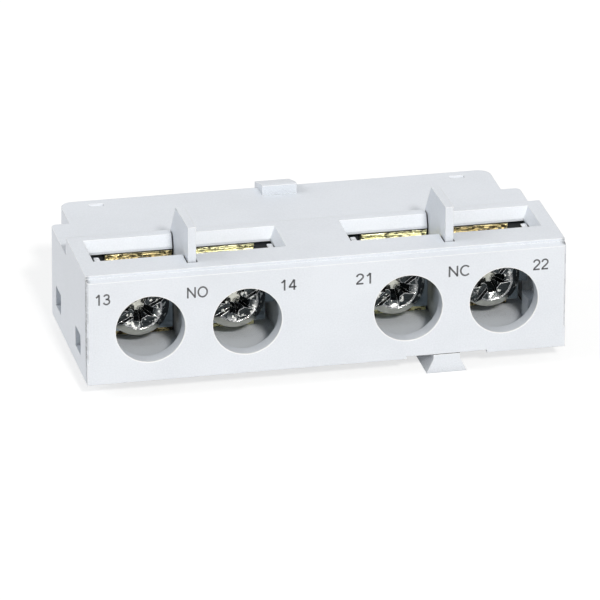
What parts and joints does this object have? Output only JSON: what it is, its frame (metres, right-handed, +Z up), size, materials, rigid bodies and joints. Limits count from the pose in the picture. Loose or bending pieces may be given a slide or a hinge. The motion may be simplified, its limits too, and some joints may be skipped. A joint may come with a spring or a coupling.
{
  "type": "auxiliary contact block",
  "caption": "Auxiliary contact block for a motor circuit breaker: screw terminals in a stepped pale housing with insulating fins, a normally open and a normally closed contact.",
  "frame": {"origin": "centre of the flat rear seat, half way up it", "axes": "+X along the block towards terminal 22, +Y out of the rear seat towards the breaker, +Z up, out of the wire entries"},
  "size_m": [0.0446, 0.024, 0.0153],
  "materials": {
    "housing_plastic": "fine satin moulded",
    "base_plastic": "fine satin moulded",
    "slide_plastic": "satin moulded",
    "brass": "grooved, dull",
    "screw_steel": "zinc plated, bright",
    "silver": "satin",
    "copper": "satin",
    "spring_steel": "drawn wire"
  },
  "bodies": {
    "body": {"housing": "housing_plastic", "base": "base_plastic", "terminal_13": "brass", "terminal_14": "brass", "terminal_21": "brass", "terminal_22": "brass", "fixed_tip_13": "silver", "fixed_tip_14": "silver", "fixed_tip_21": "silver", "fixed_tip_22": "silver", "return_spring": "spring_steel"},
    "slide": {"slide": "slide_plastic", "contact_spring_no": "spring_steel", "contact_spring_nc": "spring_steel"},
    "bridge_no": {"bridge_no": "copper", "bridge_tips_no": "silver"},
    "bridge_nc": {"bridge_nc": "copper", "bridge_tips_nc": "silver"},
    "clamp_13": {"clamp_plate_13": "screw_steel"},
    "screw_13": {"terminal_screw_13": "screw_steel"},
    "clamp_14": {"clamp_plate_14": "screw_steel"},
    "screw_14": {"terminal_screw_14": "screw_steel"},
    "clamp_21": {"clamp_plate_21": "screw_steel"},
    "screw_21": {"terminal_screw_21": "screw_steel"},
    "clamp_22": {"clamp_plate_22": "screw_steel"},
    "screw_22": {"terminal_screw_22": "screw_steel"}
  },
  "joints": [
    {"name": "slide_push", "type": "slide", "parent": "body", "child": "slide", "axis": [0, -1, 0], "range_m": [0, 0.002], "stiffness_N_per_m": 150, "springref_m": -0.002, "deforming": ["return_spring"]},
    {"name": "bridge_no_float", "type": "slide", "parent": "slide", "child": "bridge_no", "axis": [0, 1, 0], "range_m": [0, 0.0006], "stiffness_N_per_m": 400, "springref_m": -0.0006, "deforming": ["contact_spring_no"]},
    {"name": "bridge_nc_float", "type": "slide", "parent": "slide", "child": "bridge_nc", "axis": [0, -1, 0], "range_m": [0, 0.0006], "stiffness_N_per_m": 400, "springref_m": -0.0006, "deforming": ["contact_spring_nc"]},
    {"name": "clamp_13_travel", "type": "slide", "parent": "body", "child": "clamp_13", "axis": [0, 1, 0], "range_m": [-0.0012, 0.0012]},
    {"name": "screw_13_turn", "type": "hinge", "parent": "clamp_13", "child": "screw_13", "pos_m": [-0.01642, -0.01635, 0.00072], "axis": [0, 1, 0], "range_deg": [-720, 720]},
    {"name": "clamp_14_travel", "type": "slide", "parent": "body", "child": "clamp_14", "axis": [0, 1, 0], "range_m": [-0.0012, 0.0012]},
    {"name": "screw_14_turn", "type": "hinge", "parent": "clamp_14", "child": "screw_14", "pos_m": [-0.00747, -0.01635, 0.00072], "axis": [0, 1, 0], "range_deg": [-720, 720]},
    {"name": "clamp_21_travel", "type": "slide", "parent": "body", "child": "clamp_21", "axis": [0, 1, 0], "range_m": [-0.0012, 0.0012]},
    {"name": "screw_21_turn", "type": "hinge", "parent": "clamp_21", "child": "screw_21", "pos_m": [0.00747, -0.01635, 0.00072], "axis": [0, 1, 0], "range_deg": [-720, 720]},
    {"name": "clamp_22_travel", "type": "slide", "parent": "body", "child": "clamp_22", "axis": [0, 1, 0], "range_m": [-0.0012, 0.0012]},
    {"name": "screw_22_turn", "type": "hinge", "parent": "clamp_22", "child": "screw_22", "pos_m": [0.01642, -0.01635, 0.00072], "axis": [0, 1, 0], "range_deg": [-720, 720]}
  ],
  "couplings": [
    {"joint": "screw_13_turn", "follows": "clamp_13_travel", "rad_per_m": 10472},
    {"joint": "screw_14_turn", "follows": "clamp_14_travel", "rad_per_m": 10472},
    {"joint": "screw_21_turn", "follows": "clamp_21_travel", "rad_per_m": 10472},
    {"joint": "screw_22_turn", "follows": "clamp_22_travel", "rad_per_m": 10472}
  ]
}
